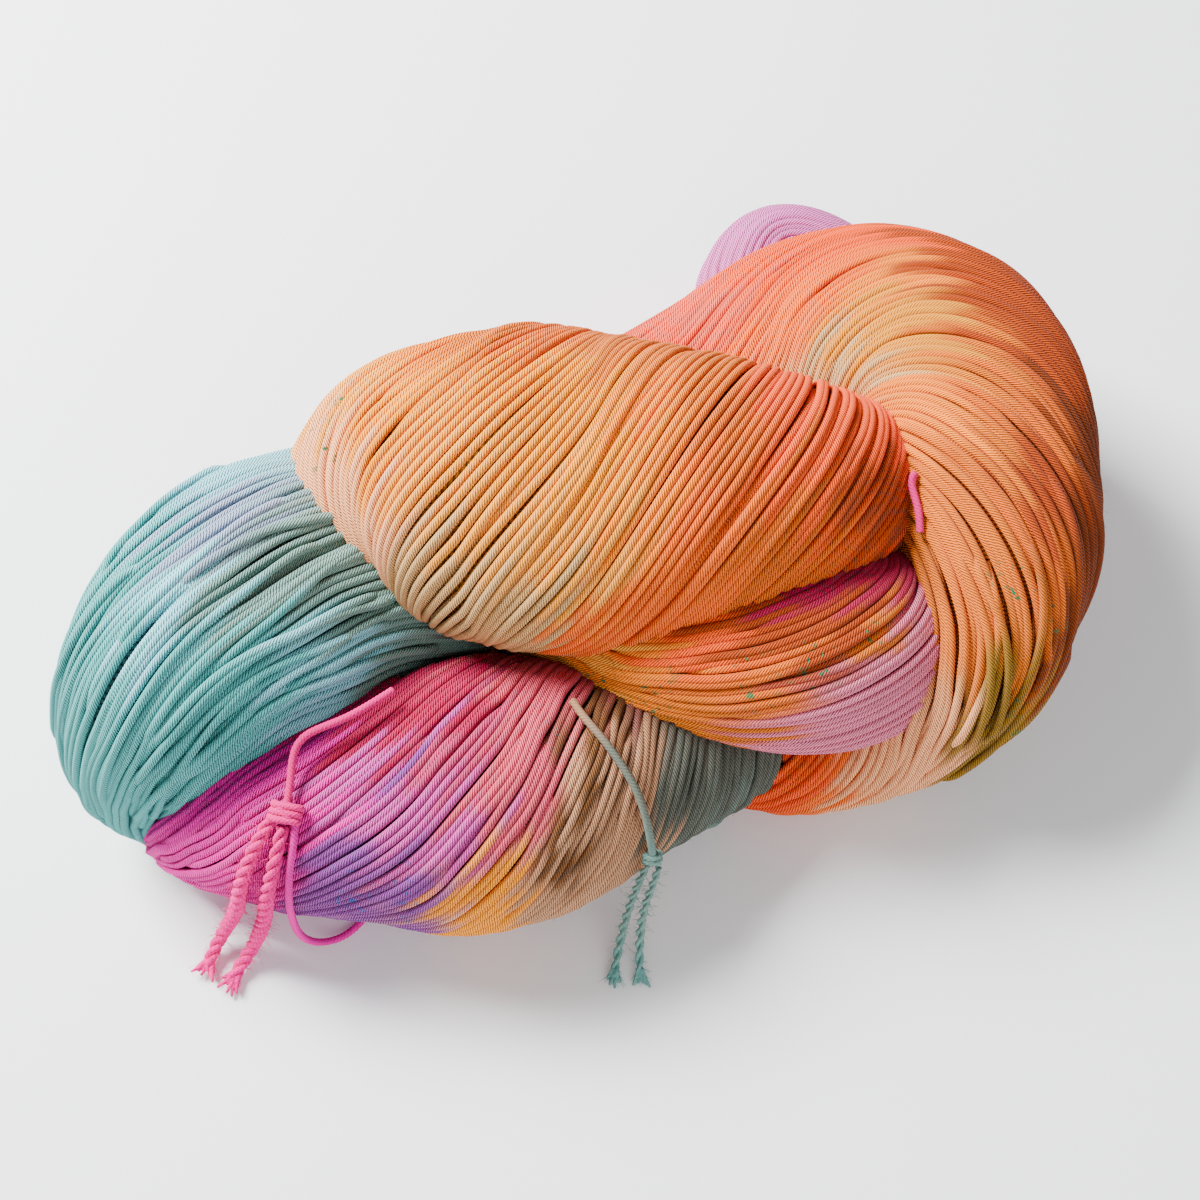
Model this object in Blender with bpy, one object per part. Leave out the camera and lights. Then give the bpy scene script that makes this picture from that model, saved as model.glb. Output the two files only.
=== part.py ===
"""A twisted skein of hand-dyed wool yarn, lying on its side, with its two knotted ties.

The skein is one closed loop of yarn. It is twisted on itself, so that four passes of the bundle
lie over and under each other. Each pass is a tube with oval sections, and a table gives the
sections. The four tubes are fused into the one wound form, and its underside is flat where it
rests. The ties lie on the form, clear of it.

Units are metres, +Z is up, and the origin is the middle of the form's underside.
"""

import math

import bmesh
import bpy
import numpy as np
from mathutils import Vector
from mathutils.bvhtree import BVHTree

MM = 0.001

# The wound form.
SIDES_OF_A_PASS = 28
RING_SPACING = 3.5  # in the millimetres of the tables
VOXEL = 2.0 * MM
SMOOTHING_FACTOR = 0.5
SMOOTHING_STEPS = 4
FORM_TRIANGLES = 6200
FLATNESS = 0.02 * MM
SHARP_EDGE = math.radians(60)

# The ties.
GAP = 0.3 * MM
LIFT = 0.35 * MM
CREASE_STEPS = 6
STEP_IN_DIAMETERS = 2.0
ROUNDING = 2
KNOT_SUBDIVISIONS = 2
THREAD_DIAMETER = 1.6 * MM
PINK_TAIL_DIAMETER = 3.0 * MM
TEAL_TAIL_DIAMETER = 1.8 * MM
PINK_KNOT = {"centre": (-56.4, -66.2, 44.0), "half_size": (3.4, 2.4, 2.0), "lean": 10.0}
TEAL_KNOT = {"centre": (13.2, -70.6, 29.6), "half_size": (2.1, 1.7, 1.9), "lean": -15.0}

# The columns of the four tables of sections, all in millimetres but for the heading.
X, Y, Z, HALF_WIDTH, HALF_HEIGHT, HEADING = range(6)

# From the left tip up over the left lobe, under the top lobe, round the hoop and back to the front.
# The heading is the way a section faces, in degrees from +X. The left lobe's sections fan out from
# the tip, so they don't stand square to the line of their centres.
LEFT_LOBE_AND_HOOP = [
    (-86, -58, 7, 6, 7, 72),
    (-90, -53, 12, 10, 11, 70),
    (-89.5, -48.5, 21, 15.5, 15, 67),
    (-84.5, -43.5, 32, 20.5, 20, 61),
    (-78.5, -37, 39, 25, 24, 59),
    (-70.5, -28, 40, 29, 25, 57),
    (-61.5, -18, 37, 30, 25, 55),
    (-49.5, -10, 32, 30.5, 25, 51),
    (-30, -2, 28, 29, 24, 43),
    (-8, 9, 25, 28, 22, 34),
    (8, 19, 23, 26, 21, 32),
    (28, 31, 25, 25, 20, 29),
    (45, 41, 31, 25, 20, 15),
    (60, 42, 38, 25, 20, -12),
    (73, 35, 43, 24, 20, -45),
    (80, 22, 45, 23, 20, -70),
    (82, 7, 45, 22, 20, -84),
    (83, -8, 42, 20, 20, -92),
    (81, -23, 35, 17, 19, -105),
    (76, -34, 26, 14, 17, -130),
    (66, -40, 17, 12, 14, -155),
    (54, -44, 12, 10, 12, -165),
    (40, -47, 10, 8, 9, -173),
    (28, -47, 9, 5, 6, -180),
]

# The front lobe, from its left end beside the left tip to its right end under the inner band.
FRONT_LOBE = [
    (-86, -60, 9, 6, 7),
    (-76, -61, 16, 12, 13),
    (-64, -60, 20, 18, 19),
    (-47, -58.5, 23, 22.5, 22),
    (-27, -56, 24, 28, 25),
    (-7, -53, 23, 26, 25),
    (10, -49, 21, 19, 20),
    (24, -46, 18, 14, 16),
    (36, -43, 15, 9, 12),
]

# The big top lobe, which dives at both ends, runs under the hoop and turns back behind it.
TOP_LOBE = [
    (-47, -34, 13, 13, 12),
    (-52, -18, 17, 15, 15),
    (-47, -5, 31, 18, 18),
    (-35, 2, 46, 26, 24),
    (-17, -1, 53, 33, 27),
    (3, -3, 53, 33, 27),
    (23, -2, 51, 29, 26),
    (41, 1, 45, 24, 24),
    (54, 7, 35, 18, 20),
    (60, 18, 23, 16, 17),
    (62, 40, 16, 16, 15),
    (56, 62, 19, 16, 15),
    (44, 71, 20, 14, 14),
    (36, 62, 18, 12, 13),
    (39, 44, 14, 12, 12),
]

# The inner band, from under the left lobe, beneath the top lobe, out at the crotch and to the right.
INNER_BAND = [
    (-81, -52, 9, 10, 10),
    (-85, -28, 11, 13, 13),
    (-79, -7, 13, 15, 14),
    (-63, 7, 17, 16, 14),
    (-43, 2, 21, 16, 15),
    (-22, -12, 29, 13, 14),
    (-5, -23, 34, 8, 10),
    (11, -32, 38, 11, 14),
    (29, -33, 39, 17, 17),
    (47, -30, 35, 20, 20),
    (62, -22, 27, 19, 19),
    (69, -8, 19, 16, 16),
    (67, 14, 13, 14, 14),
    (53, 36, 11, 12, 12),
]

# The routes of the ties' threads and tails, in millimetres, from the skein or the knot outwards.
PINK_THREAD_ROUTE = [
    (-36.5, -43.5, 49.5),
    (-40.5, -46.5, 50.0),
    (-45.0, -49.3, 50.0),
    (-49.6, -51.2, 49.8),
    (-53.0, -52.6, 49.4),
    (-54.9, -55.0, 48.4),
    (-55.3, -58.5, 46.9),
    (-55.7, -62.0, 45.4),
    (-56.2, -64.8, 44.4),
]
PINK_LOOP_ROUTE = [
    (-54.6, -66.8, 42.6),
    (-54.9, -70.6, 40.6),
    (-55.9, -74.6, 37.0),
    (-56.9, -78.6, 29.0),
    (-57.4, -80.6, 18.0),
    (-56.6, -81.0, 8.5),
    (-54.0, -80.6, 3.4),
    (-50.6, -79.4, 1.6),
    (-47.6, -77.4, 1.2),
    (-45.4, -74.6, 1.1),
]
PINK_TAIL_LEFT_ROUTE = [
    (-59.0, -66.8, 43.0),
    (-61.8, -70.4, 40.4),
    (-64.8, -74.2, 33.0),
    (-67.6, -77.2, 23.0),
    (-70.6, -78.0, 13.0),
    (-73.4, -78.8, 5.6),
    (-75.6, -81.4, 2.4),
    (-76.8, -84.8, 1.8),
]
PINK_TAIL_RIGHT_ROUTE = [
    (-57.0, -68.6, 42.6),
    (-58.2, -72.6, 39.2),
    (-60.2, -76.6, 32.0),
    (-62.8, -80.0, 21.0),
    (-65.4, -81.0, 11.0),
    (-67.8, -82.2, 4.4),
    (-69.8, -84.4, 2.2),
    (-71.4, -87.4, 1.8),
]
TEAL_THREAD_ROUTE = [
    (-2.6, -45.0, 45.4),
    (0.4, -48.8, 47.4),
    (3.8, -53.0, 47.4),
    (7.0, -57.2, 46.0),
    (10.0, -61.6, 43.4),
    (11.8, -65.8, 39.6),
    (12.8, -69.0, 34.6),
    (13.2, -70.4, 31.0),
]
TEAL_TAIL_LEFT_ROUTE = [
    (12.2, -71.6, 28.4),
    (10.6, -73.4, 22.0),
    (9.2, -75.4, 15.0),
    (7.8, -78.2, 8.4),
    (6.8, -81.6, 3.6),
    (6.2, -84.4, 1.6),
    (5.8, -87.0, 1.1),
]
TEAL_TAIL_RIGHT_ROUTE = [
    (14.4, -72.0, 28.2),
    (13.2, -74.2, 21.6),
    (11.8, -76.4, 14.6),
    (11.2, -79.0, 8.2),
    (11.0, -82.0, 3.6),
    (11.0, -84.6, 1.6),
    (11.2, -87.0, 1.1),
]
INNER_TIE_ROUTE = [
    (65.4, 2.0, 52.0),
    (66.0, -1.4, 53.4),
    (66.6, -4.8, 53.8),
    (67.2, -8.2, 53.2),
    (67.8, -11.0, 51.6),
]


def clear_scene():
    for thing in list(bpy.data.objects):
        bpy.data.objects.remove(thing, do_unlink=True)


def make_material(name, colour, roughness):
    material = bpy.data.materials.new(name)
    material.use_nodes = True
    shader = material.node_tree.nodes["Principled BSDF"]
    shader.inputs["Base Color"].default_value = (*colour, 1.0)
    shader.inputs["Roughness"].default_value = roughness
    shader.inputs["Metallic"].default_value = 0.0
    return material


def place(name, data, material):
    thing = bpy.data.objects.new(name, data)
    bpy.context.collection.objects.link(thing)
    data.materials.append(material)
    return thing


def smooth_rows(rows, spacing):
    """Rows at an even spacing on a smooth curve through the given rows; x, y, z come first."""
    rows = np.array(rows, float)
    steps = np.linalg.norm(np.diff(rows[:, X : Z + 1], axis=0), axis=1)
    along = np.concatenate([[0.0], np.cumsum(steps)])
    slopes = np.zeros_like(rows)
    for i in range(len(rows)):
        before, after = max(i - 1, 0), min(i + 1, len(rows) - 1)
        slopes[i] = (rows[after] - rows[before]) / (along[after] - along[before])
    where = np.linspace(0.0, along[-1], int(math.ceil(along[-1] / spacing)) + 1)
    first = np.clip(np.searchsorted(along, where, side="right") - 1, 0, len(rows) - 2)
    gap = (along[first + 1] - along[first])[:, None]
    t = (where - along[first])[:, None] / gap
    return (
        (2 * t**3 - 3 * t**2 + 1) * rows[first]
        + (t**3 - 2 * t**2 + t) * gap * slopes[first]
        + (3 * t**2 - 2 * t**3) * rows[first + 1]
        + (t**3 - t**2) * gap * slopes[first + 1]
    )


def ring_of(centre, along, section):
    """The points of an oval section, its width level, square to the pass or to its own heading."""
    ahead = along
    if len(section) > HEADING:
        heading = math.radians(section[HEADING])
        ahead = Vector((math.cos(heading), math.sin(heading), 0))
    level = ahead.cross(Vector((0, 0, 1))).normalized()
    up = level.cross(along).normalized()
    half_width, half_height = section[HALF_WIDTH], section[HALF_HEIGHT]
    turns = [2 * math.pi * k / SIDES_OF_A_PASS for k in range(SIDES_OF_A_PASS)]
    return [
        centre + level * (half_width * math.cos(a)) + up * (half_height * math.sin(a)) for a in turns
    ]


def add_pass(form, sections):
    """Add one closed tube with round-tapered ends to the mesh."""
    rows = smooth_rows(sections, RING_SPACING)
    rows[:, :HEADING] *= MM
    centres = [Vector(row[X : Z + 1]) for row in rows]
    rings = []
    for i, row in enumerate(rows):
        along = (centres[min(i + 1, len(rows) - 1)] - centres[max(i - 1, 0)]).normalized()
        ring = ring_of(centres[i], along, row)
        rings.append([form.verts.new(point) for point in ring])
    for near, far in zip(rings, rings[1:]):
        for k in range(SIDES_OF_A_PASS):
            j = (k + 1) % SIDES_OF_A_PASS
            form.faces.new((near[k], near[j], far[j], far[k]))
    form.faces.new(list(reversed(rings[0])))
    form.faces.new(rings[-1])


def fused(name, mesh):
    """The mesh's outer skin as one smooth closed surface, with no more triangles than it needs."""
    thing = bpy.data.objects.new(name, mesh)
    bpy.context.collection.objects.link(thing)
    remesh = thing.modifiers.new("fuse", "REMESH")
    remesh.mode = "VOXEL"
    remesh.voxel_size = VOXEL
    smooth = thing.modifiers.new("smooth", "SMOOTH")
    smooth.factor = SMOOTHING_FACTOR
    smooth.iterations = SMOOTHING_STEPS
    result = bpy.data.meshes.new_from_object(thing.evaluated_get(bpy.context.evaluated_depsgraph_get()))
    bpy.data.objects.remove(thing, do_unlink=True)
    return result


def thinned(name, mesh, triangles):
    mesh.calc_loop_triangles()
    thing = bpy.data.objects.new(name, mesh)
    bpy.context.collection.objects.link(thing)
    fewer = thing.modifiers.new("fewer", "DECIMATE")
    fewer.ratio = min(1.0, triangles / len(mesh.loop_triangles))
    fewer.use_collapse_triangulate = True
    result = bpy.data.meshes.new_from_object(thing.evaluated_get(bpy.context.evaluated_depsgraph_get()))
    bpy.data.objects.remove(thing, do_unlink=True)
    return result


def outer_shell(mesh):
    """Keep the outer surface and drop the walls of hollows sealed between the passes."""
    work = bmesh.new()
    work.from_mesh(mesh)
    left, shells = set(work.verts), []
    while left:
        queue, shell = [left.pop()], []
        while queue:
            vert = queue.pop()
            shell.append(vert)
            for edge in vert.link_edges:
                other = edge.other_vert(vert)
                if other in left:
                    left.remove(other)
                    queue.append(other)
        shells.append(shell)
    shells.sort(key=len, reverse=True)
    for shell in shells[1:]:
        bmesh.ops.delete(work, geom=shell, context="VERTS")
    work.to_mesh(mesh)
    work.free()


def flatten_underside(mesh):
    """Cut the form off at z = 0, where it rests, and close the cuts with flat faces."""
    work = bmesh.new()
    work.from_mesh(mesh)
    everything = work.verts[:] + work.edges[:] + work.faces[:]
    bmesh.ops.bisect_plane(
        work, geom=everything, dist=FLATNESS, plane_co=(0, 0, 0), plane_no=(0, 0, 1), clear_inner=True
    )
    rims = [edge for edge in work.edges if edge.is_boundary]
    bmesh.ops.holes_fill(work, edges=rims, sides=0)
    bmesh.ops.recalc_face_normals(work, faces=work.faces[:])
    work.to_mesh(mesh)
    work.free()


def make_skein(material):
    form = bmesh.new()
    for sections in (LEFT_LOBE_AND_HOOP, FRONT_LOBE, TOP_LOBE, INNER_BAND):
        add_pass(form, sections)
    mesh = bpy.data.meshes.new("skein")
    form.to_mesh(mesh)
    form.free()
    mesh = fused("skein", mesh)
    outer_shell(mesh)
    mesh = thinned("skein", mesh, FORM_TRIANGLES)
    flatten_underside(mesh)
    mesh.name = "skein"
    skein = place("skein", mesh, material)
    mesh.shade_smooth()
    mesh.set_sharp_from_angle(angle=SHARP_EDGE)
    return skein


def knot_space(knot, point):
    """A point in the knot's own directions, in half sizes, so that 1 is its surface."""
    lean = math.radians(knot["lean"])
    offset = Vector(point) - Vector(knot["centre"]) * MM
    x = offset.x * math.cos(lean) + offset.z * math.sin(lean)
    z = offset.z * math.cos(lean) - offset.x * math.sin(lean)
    half = [size * MM for size in knot["half_size"]]
    return Vector((x / half[0], offset.y / half[1], z / half[2]))


def clear_of_form(points, tree, distance):
    """Move each point that is too near the form out from it, in steps where a crease has two walls."""
    out = []
    for point in points:
        for _ in range(CREASE_STEPS):
            spot, normal, _, _ = tree.find_nearest(point)
            height = (point - spot).dot(normal)
            if height < distance:
                point = point + normal * (distance - height)
        out.append(point)
    return out


def make_cord(name, route, diameter, material, tree, knot=None):
    """A plain tube along a smooth curve through the route, clear of the form and of its knot."""
    rows = smooth_rows(np.array(route, float) * MM, STEP_IN_DIAMETERS * diameter)
    points = [Vector(row) for row in rows]
    points = clear_of_form(points, tree, diameter / 2 + GAP + LIFT)
    for i, point in enumerate(points):
        points[i].z = max(point.z, diameter / 2 + LIFT / 2)
    if knot is not None:
        room = 1.0 + (diameter / 2 + GAP) / (min(knot["half_size"]) * MM)
        points = [p for p in points if knot_space(knot, p).length > room]
    curve = bpy.data.curves.new(name, "CURVE")
    curve.dimensions = "3D"
    curve.bevel_depth = diameter / 2
    curve.bevel_resolution = ROUNDING
    curve.use_fill_caps = True
    curve.render_resolution_u = 0
    line = curve.splines.new("POLY")
    line.points.add(len(points) - 1)
    for spot, point in zip(line.points, points):
        spot.co = (*point, 1.0)
    return place(name, curve, material)


def make_knot(name, knot, material):
    """The outer shape of a small overhand knot: a leaning oval bead."""
    ball = bmesh.new()
    bmesh.ops.create_icosphere(ball, subdivisions=KNOT_SUBDIVISIONS, radius=1.0)
    lean = math.radians(knot["lean"])
    for vert in ball.verts:
        x, y, z = (c * size * MM for c, size in zip(vert.co, knot["half_size"]))
        vert.co = Vector(knot["centre"]) * MM + Vector(
            (x * math.cos(lean) - z * math.sin(lean), y, x * math.sin(lean) + z * math.cos(lean))
        )
    mesh = bpy.data.meshes.new(name)
    ball.to_mesh(mesh)
    ball.free()
    mesh.shade_smooth()
    return place(name, mesh, material)


def make_pink_tie(tree):
    wool = make_material("pink wool", (0.78, 0.10, 0.36), 0.85)
    make_cord("pink_tie_thread", PINK_THREAD_ROUTE, THREAD_DIAMETER, wool, tree, PINK_KNOT)
    make_knot("pink_tie_knot", PINK_KNOT, wool)
    make_cord("pink_tie_loop", PINK_LOOP_ROUTE, THREAD_DIAMETER, wool, tree, PINK_KNOT)
    make_cord("pink_tie_tail_left", PINK_TAIL_LEFT_ROUTE, PINK_TAIL_DIAMETER, wool, tree, PINK_KNOT)
    make_cord("pink_tie_tail_right", PINK_TAIL_RIGHT_ROUTE, PINK_TAIL_DIAMETER, wool, tree, PINK_KNOT)
    make_cord("inner_tie_thread", INNER_TIE_ROUTE, THREAD_DIAMETER, wool, tree)


def make_teal_tie(tree):
    wool = make_material("teal wool", (0.38, 0.55, 0.54), 0.85)
    make_cord("teal_tie_thread", TEAL_THREAD_ROUTE, THREAD_DIAMETER, wool, tree, TEAL_KNOT)
    make_knot("teal_tie_knot", TEAL_KNOT, wool)
    make_cord("teal_tie_tail_left", TEAL_TAIL_LEFT_ROUTE, TEAL_TAIL_DIAMETER, wool, tree, TEAL_KNOT)
    make_cord("teal_tie_tail_right", TEAL_TAIL_RIGHT_ROUTE, TEAL_TAIL_DIAMETER, wool, tree, TEAL_KNOT)


clear_scene()
skein = make_skein(make_material("dyed wool", (0.82, 0.48, 0.30), 0.85))
form_tree = BVHTree.FromPolygons(
    [vert.co for vert in skein.data.vertices], [tuple(face.vertices) for face in skein.data.polygons]
)
make_pink_tie(form_tree)
make_teal_tie(form_tree)
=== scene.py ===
import math

import bpy
import numpy as np
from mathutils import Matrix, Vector
from mathutils.bvhtree import BVHTree


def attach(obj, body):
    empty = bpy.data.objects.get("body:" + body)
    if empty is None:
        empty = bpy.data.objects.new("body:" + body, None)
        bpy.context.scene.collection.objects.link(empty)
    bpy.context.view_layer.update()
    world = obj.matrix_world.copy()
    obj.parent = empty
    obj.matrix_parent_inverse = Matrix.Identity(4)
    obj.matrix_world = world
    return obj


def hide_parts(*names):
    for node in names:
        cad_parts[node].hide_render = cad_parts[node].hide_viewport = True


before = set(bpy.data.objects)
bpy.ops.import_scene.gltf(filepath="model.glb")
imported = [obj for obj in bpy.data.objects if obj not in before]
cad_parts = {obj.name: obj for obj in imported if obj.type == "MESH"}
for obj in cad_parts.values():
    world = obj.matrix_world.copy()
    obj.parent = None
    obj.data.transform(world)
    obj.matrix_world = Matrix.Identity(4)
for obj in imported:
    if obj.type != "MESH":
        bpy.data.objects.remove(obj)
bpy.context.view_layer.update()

mm = 0.001


camera = {
    "aim": (0.003, -0.020, 0.039),
    "elevation": 66.0,
    "distance": 0.420,
    "lens": 63.0,
    "sensor": 36.0,
}


def makeCamera(setup):
    lift = math.radians(setup["elevation"])
    back = Vector((0, -math.cos(lift), math.sin(lift)))
    data = bpy.data.cameras.new("camera")
    data.lens = setup["lens"]
    data.sensor_width = setup["sensor"]
    data.clip_start = 0.01
    cameraObject = bpy.data.objects.new("camera", data)
    cameraObject.location = Vector(setup["aim"]) + back * setup["distance"]
    cameraObject.rotation_euler = (math.pi / 2 - lift, 0, 0)
    bpy.context.collection.objects.link(cameraObject)
    bpy.context.scene.camera = cameraObject


makeCamera(camera)
print("camera ready")


# Each dye as it looks on dry wool, red, green and blue from 0 to 1; slate and umber also stand in for
# painted shade.
dyes = {
    "seaFoam": (0.42, 0.65, 0.64),
    "iceAqua": (0.60, 0.80, 0.83),
    "deepTeal": (0.20, 0.46, 0.47),
    "greyTeal": (0.48, 0.58, 0.55),
    # slate greys the teal tie and also paints the shade on the front pass under the inner band
    "slateAndPaintedShade": (0.34, 0.35, 0.32),
    "greyLilac": (0.62, 0.66, 0.74),
    "blush": (0.98, 0.69, 0.55),
    "peach": (0.96, 0.62, 0.36),
    "honey": (0.97, 0.66, 0.42),
    "apricot": (0.96, 0.55, 0.10),
    "terracotta": (0.82, 0.44, 0.10),
    "caramel": (0.80, 0.46, 0.10),
    "orange": (0.90, 0.40, 0.02),
    "flame": (0.95, 0.38, 0.10),
    "rust": (0.62, 0.29, 0.01),
    "gold": (0.84, 0.58, 0.34),
    "sand": (0.80, 0.66, 0.50),
    "olive": (0.52, 0.40, 0.22),
    "coral": (0.93, 0.40, 0.12),
    "salmon": (0.92, 0.46, 0.22),
    "rose": (0.86, 0.40, 0.34),
    "dustyRose": (0.78, 0.36, 0.42),
    "pink": (0.70, 0.30, 0.42),
    "magenta": (0.82, 0.04, 0.58),
    "hotPink": (0.78, 0.02, 0.44),
    "softPink": (0.88, 0.24, 0.54),
    "plum": (0.60, 0.02, 0.27),
    "orchid": (0.72, 0.34, 0.58),
    "mauve": (0.82, 0.50, 0.58),
    "lilac": (0.78, 0.46, 0.66),
    "violet": (0.50, 0.28, 0.52),
    "beige": (0.70, 0.54, 0.44),
    "brown": (0.42, 0.29, 0.20),
    # painted shade: umber darkens the hoop's far right side
    "paintedShadeUmber": (0.44, 0.22, 0.02),
    "green": (0.06, 0.42, 0.30),
    "blue": (0.03, 0.33, 0.58),
}
vividness = 1.32  # how strongly the dyes show; 1 leaves them as listed


def wool(name):
    c = np.array(dyes[name])
    light = np.where(c <= 0.04045, c / 12.92, ((c + 0.055) / 1.055) ** 2.4)
    grey = light @ np.array([0.21, 0.72, 0.07])
    return np.clip(grey + (light - grey) * vividness, 0.004, 0.97)


def smoothRows(rows, step):
    # rows at an even spacing on a smooth curve through the given ones, x, y and z first
    rows = np.array(rows, float)
    along = np.concatenate([[0.0], np.cumsum(np.linalg.norm(np.diff(rows[:, :3], axis=0), axis=1))])
    before = np.maximum(np.arange(len(rows)) - 1, 0)
    after = np.minimum(np.arange(len(rows)) + 1, len(rows) - 1)
    slopes = (rows[after] - rows[before]) / (along[after] - along[before])[:, None]
    where = np.linspace(0.0, along[-1], int(math.ceil(along[-1] / step)) + 1)
    first = np.clip(np.searchsorted(along, where, side="right") - 1, 0, len(rows) - 2)
    gap = (along[first + 1] - along[first])[:, None]
    t = (where - along[first])[:, None] / gap
    return (
        (2 * t**3 - 3 * t**2 + 1) * rows[first]
        + (t**3 - 2 * t**2 + t) * gap * slopes[first]
        + (3 * t**2 - 2 * t**3) * rows[first + 1]
        + (t**3 - t**2) * gap * slopes[first + 1]
    )


def unit(vectors):
    return vectors / np.maximum(np.linalg.norm(vectors, axis=-1, keepdims=True), 1e-12)


def ease(x):
    x = np.clip(x, 0.0, 1.0)
    return x * x * (3 - 2 * x)


def softNoise(rng, rows, columns, rowCells, columnCells):
    # smooth noise from -1 to 1, joined up across the columns
    grid = rng.uniform(-1, 1, (rowCells + 2, columnCells))
    r = np.linspace(0, rowCells, rows)
    c = np.arange(columns) / columns * columnCells
    i, j = r.astype(int), c.astype(int)
    f, g = ease(r - i)[:, None], ease(c - j)[None]
    k = (j + 1) % columnCells
    return (
        grid[i][:, j] * (1 - f) * (1 - g) + grid[i + 1][:, j] * f * (1 - g)
        + grid[i][:, k] * (1 - f) * g + grid[i + 1][:, k] * f * g
    )


def evenPath(points, step):
    # the same path with its points about one step apart
    along = np.concatenate([[0.0], np.cumsum(np.linalg.norm(np.diff(points, axis=0), axis=1))])
    where = np.linspace(0, along[-1], max(2, int(round(along[-1] / step)) + 1))
    return np.stack([np.interp(where, along, points[:, k]) for k in range(3)], 1), where


def makePiece(name, tubes, material):
    # one mesh of many closed tubes; each tube is (rings, distance along, colour, fleck)
    verts, quads, quadUv, caps, colours, flecks = [], [], [], [], [], []
    count = 0
    sides = tubes[0][0].shape[1]
    k = np.arange(sides)
    for rings, along, colour, fleck in tubes:
        n = len(rings)
        verts.append(rings.reshape(-1, 3))
        a = (np.arange(n - 1) * sides)[:, None]
        b = (k + 1) % sides
        quads.append(np.stack([a + k, a + b, a + sides + b, a + sides + k], -1).reshape(-1, 4) + count)
        u0, u1 = along[:-1, None] + 0 * k, along[1:, None] + 0 * k
        v0, v1 = k / sides + 0 * u0, (k + 1) / sides + 0 * u0
        corners = [np.stack(p, -1) for p in ((u0, v0), (u0, v1), (u1, v1), (u1, v0))]
        quadUv.append(np.stack(corners, 2).reshape(-1, 2))
        caps.append(np.stack([k[::-1], (n - 1) * sides + k]) + count)
        colours.append(np.broadcast_to(colour.reshape(n, -1, 3), (n, sides, 3)).reshape(-1, 3))
        flecks.append(np.repeat(fleck, sides, axis=0))
        count += n * sides
    verts, quads, caps = np.concatenate(verts), np.concatenate(quads), np.concatenate(caps)
    quadUv, colours, flecks = np.concatenate(quadUv), np.concatenate(colours), np.concatenate(flecks)
    loops = np.concatenate([quads.ravel(), caps.ravel()])
    totals = np.concatenate([np.full(len(quads), 4), np.full(len(caps), sides)])  # corners per face
    mesh = bpy.data.meshes.new(name)
    mesh.vertices.add(len(verts))
    mesh.vertices.foreach_set("co", verts.astype(np.float32).ravel())
    mesh.loops.add(len(loops))
    mesh.loops.foreach_set("vertex_index", loops.astype(np.int32))
    mesh.polygons.add(len(totals))
    mesh.polygons.foreach_set("loop_start", np.concatenate([[0], np.cumsum(totals)[:-1]]).astype(np.int32))
    mesh.polygons.foreach_set("use_smooth", np.ones(len(totals), bool))
    uv = mesh.uv_layers.new(name="yarn")
    allUv = np.concatenate([quadUv, np.zeros((caps.size, 2))])
    uv.uv.foreach_set("vector", allUv.astype(np.float32).ravel())
    dye = mesh.color_attributes.new("dye", "FLOAT_COLOR", "POINT")
    dye.data.foreach_set("color", np.c_[colours, np.ones(len(colours))].astype(np.float32).ravel())
    fleckLayer = mesh.color_attributes.new("fleck", "FLOAT_COLOR", "POINT")
    fleckLayer.data.foreach_set("color", flecks.astype(np.float32).ravel())
    mesh.update(calc_edges=True)
    mesh.validate()
    mesh.materials.append(material)
    piece = bpy.data.objects.new(name, mesh)
    bpy.context.collection.objects.link(piece)
    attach(piece, "root")
    triangles = int((totals - 2).sum())
    print(f"{name}: {triangles} triangles")
    return piece


def framesAlong(points):
    # a direction of travel and two sideways directions that don't spin along the path
    travel = unit(np.gradient(points, axis=0))
    side = np.empty_like(travel)
    first = np.cross(travel[0], (0.0, 0.0, 1.0))
    if np.linalg.norm(first) < 0.1:
        first = np.cross(travel[0], (1.0, 0.0, 0.0))
    side[0] = first / np.linalg.norm(first)
    for i in range(1, len(points)):
        kept = side[i - 1] - travel[i] * np.dot(side[i - 1], travel[i])
        side[i] = kept / np.linalg.norm(kept)
    return travel, side, np.cross(travel, side)


def pliedTube(points, radius, colour, plies=4, lay=4.2, groove=0.20, sides=20, step=0.24):
    # a thread with its plies modelled; radius and colour are one value, or one at each path point
    path, along = evenPath(np.array(points), step)
    share = along / along[-1]
    radius = np.interp(share, np.linspace(0, 1, len(np.atleast_1d(radius))), np.atleast_1d(radius))
    colour = np.atleast_2d(colour)
    steps = np.linspace(0, 1, len(colour))
    colour = np.stack([np.interp(share, steps, colour[:, k]) for k in range(3)], 1)
    travel, side, up = framesAlong(path)
    turn = np.arange(sides) / sides * 2 * math.pi
    wave = np.abs(np.cos(plies * (turn[None] + 2 * math.pi * along[:, None] / lay) / 2))
    r = radius[:, None] * (1 - groove * (1 - wave))
    rings = path[:, None] + r[..., None] * (
        np.cos(turn)[None, :, None] * side[:, None] + np.sin(turn)[None, :, None] * up[:, None]
    )
    # painted shade: the colour darkens in the grooves between the plies
    shade = 1 - 0.6 * (1 - wave) ** 1.3
    return rings * mm, along, colour[:, None] * shade[..., None], np.zeros((len(path), 4))


def ropeTubes(points, radius, colour, strands, lay):
    # a few threads laid round each other into one thicker cord
    path, along = evenPath(np.array(points), 0.8)
    share = along / along[-1]
    radius = np.interp(share, np.linspace(0, 1, len(np.atleast_1d(radius))), np.atleast_1d(radius))
    thread = radius * (0.5 if strands == 2 else 0.47)
    _, side, up = framesAlong(path)
    tubes = []
    for k in range(strands):
        turn = 2 * math.pi * (k / strands + along / lay)
        offset = (radius - thread)[:, None] * (np.cos(turn)[:, None] * side + np.sin(turn)[:, None] * up)
        line = path + offset
        tubes.append(pliedTube(line, thread, colour, plies=3, lay=2.6, groove=0.25, sides=12, step=0.3))
    return tubes


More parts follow.
